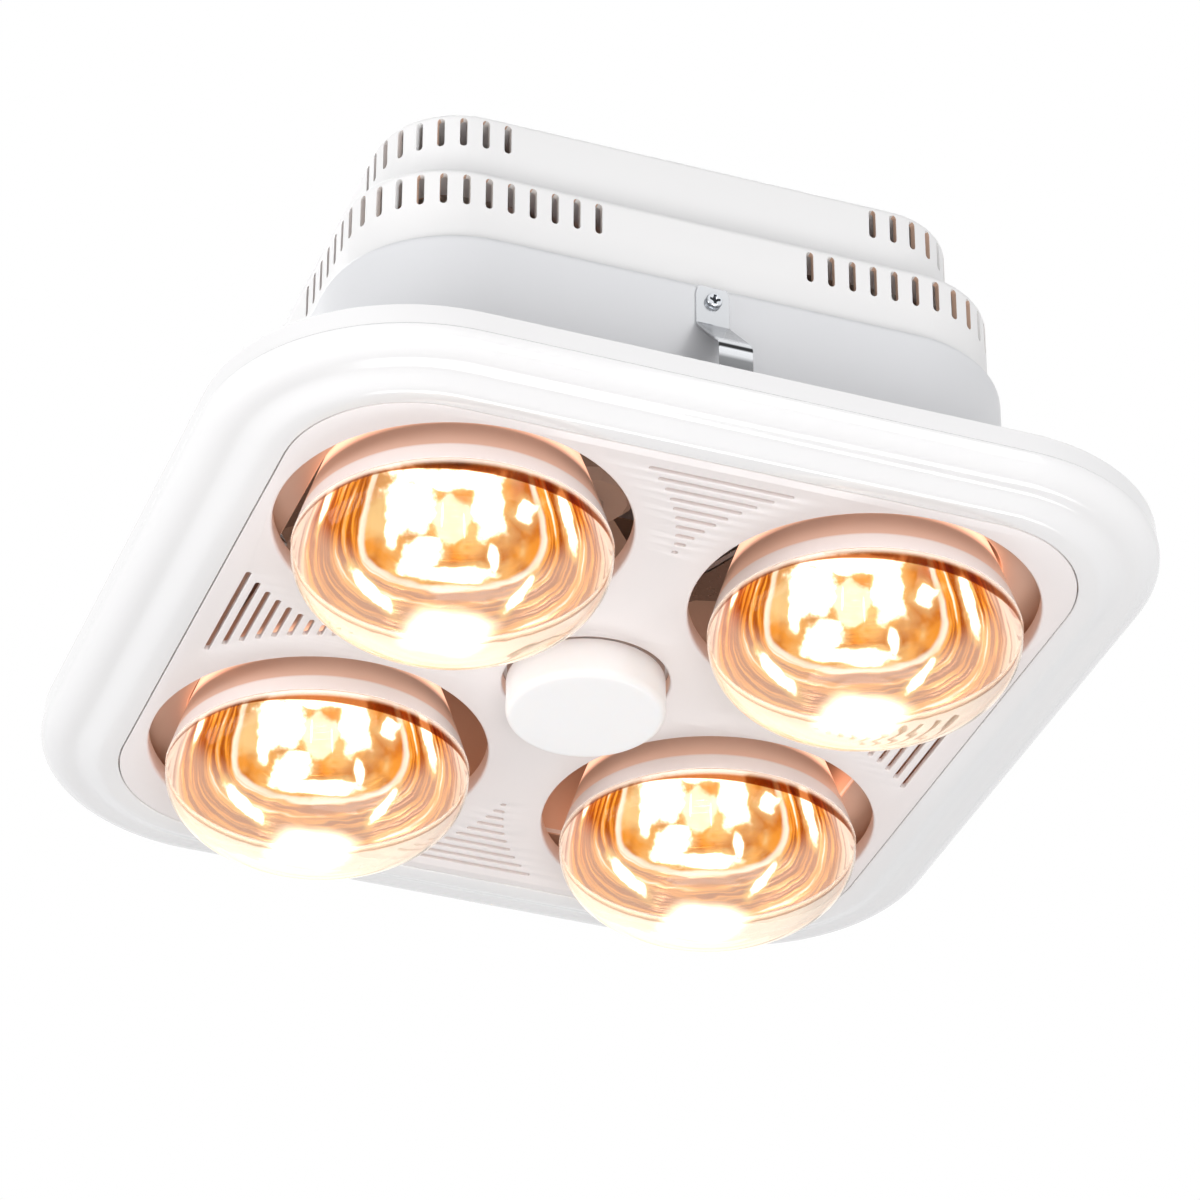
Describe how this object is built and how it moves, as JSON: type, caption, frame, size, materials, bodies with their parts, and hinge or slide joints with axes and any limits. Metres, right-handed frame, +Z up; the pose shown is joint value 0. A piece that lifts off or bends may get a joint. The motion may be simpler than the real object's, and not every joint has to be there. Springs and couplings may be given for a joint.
{
  "type": "ceiling mounted fan heater",
  "caption": "Square ceiling heater with reflector heat lamps, a frosted centre light and an exhaust fan in a stepped, vented housing.",
  "frame": {"origin": "centre of the ceiling plane, where the rim of the fascia meets the ceiling", "axes": "+Z up into the ceiling void, +X along the near edge to the picture's right, +Y away from the camera"},
  "size_m": [0.39, 0.39, 0.2448],
  "materials": {
    "fascia_gloss": "moulded, glossy white",
    "panel_satin": "moulded, satin warm white",
    "housing_white": "moulded, satin white",
    "sheet_steel": "galvanised sheet",
    "motor_steel": "pressed, zinc coated",
    "bright_steel": "turned steel",
    "winding_copper": "lacquered copper windings",
    "fan_plastic": "glass filled moulding",
    "zinc": "bright zinc plate",
    "opal": "frosted opal",
    "opal_case": "white moulded case",
    "sink_aluminium": "die cast",
    "board_white": "white solder mask",
    "dark_plastic": "moulded, dark grey",
    "grey_plastic": "moulded, grey",
    "lamp_glass": "amber tinted, inside coated reflector",
    "cap_brass": "screw cap",
    "filament": "wire and glass stem",
    "porcelain": "glazed"
  },
  "bodies": {
    "unit": {"fascia_frame": "fascia_gloss", "grille_panel": "panel_satin", "housing": "housing_white", "heat_deck": "sheet_steel", "lamp_bracket": "sheet_steel", "motor_case": "motor_steel", "motor_end_cap": "motor_steel", "bearing_upper": "bright_steel", "bearing_lower": "bright_steel", "stator": "winding_copper", "light_cover": "opal", "light_heat_sink": "sink_aluminium", "led_board": "board_white", "supply_cover": "dark_plastic", "cable_gland": "grey_plastic", "terminal_block": "grey_plastic", "light_driver": "opal_case", "run_capacitor": "dark_plastic", "thermal_cut_out": "bright_steel", "lamp_glass_1": "lamp_glass", "lamp_cap_1": "cap_brass", "filament_mount_1": "filament", "lampholder_1": "porcelain", "bracket_screw_1": "zinc", "fascia_screw_1": "zinc", "lamp_glass_2": "lamp_glass", "lamp_cap_2": "cap_brass", "filament_mount_2": "filament", "lampholder_2": "porcelain", "bracket_screw_2": "zinc", "fascia_screw_2": "zinc", "lamp_glass_3": "lamp_glass", "lamp_cap_3": "cap_brass", "filament_mount_3": "filament", "lampholder_3": "porcelain", "bracket_screw_3": "zinc", "fascia_screw_3": "zinc", "lamp_glass_4": "lamp_glass", "lamp_cap_4": "cap_brass", "filament_mount_4": "filament", "lampholder_4": "porcelain", "bracket_screw_4": "zinc", "fascia_screw_4": "zinc", "deck_screw_1": "zinc", "deck_screw_2": "zinc", "clip_plate_near": "zinc", "clip_screw_near": "zinc", "clip_plate_far": "zinc", "clip_screw_far": "zinc"},
    "fan_rotor": {"rotor_shaft": "bright_steel", "impeller": "fan_plastic", "impeller_nut": "zinc"},
    "clip_arm_near": {"clip_arm_near": "zinc"},
    "clip_arm_far": {"clip_arm_far": "zinc"}
  },
  "joints": [
    {"name": "fan_spin", "type": "hinge", "parent": "unit", "child": "fan_rotor", "pos_m": [0, 0, 0.078], "axis": [0, 0, 1], "continuous": true},
    {"name": "clip_near_flex", "type": "hinge", "parent": "unit", "child": "clip_arm_near", "pos_m": [0, -0.1438, 0.058], "axis": [1, 0, 0], "range_deg": [0, 16], "stiffness_Nm_per_rad": 0.3},
    {"name": "clip_far_flex", "type": "hinge", "parent": "unit", "child": "clip_arm_far", "pos_m": [0, 0.1438, 0.058], "axis": [-1, 0, 0], "range_deg": [0, 16], "stiffness_Nm_per_rad": 0.3}
  ]
}
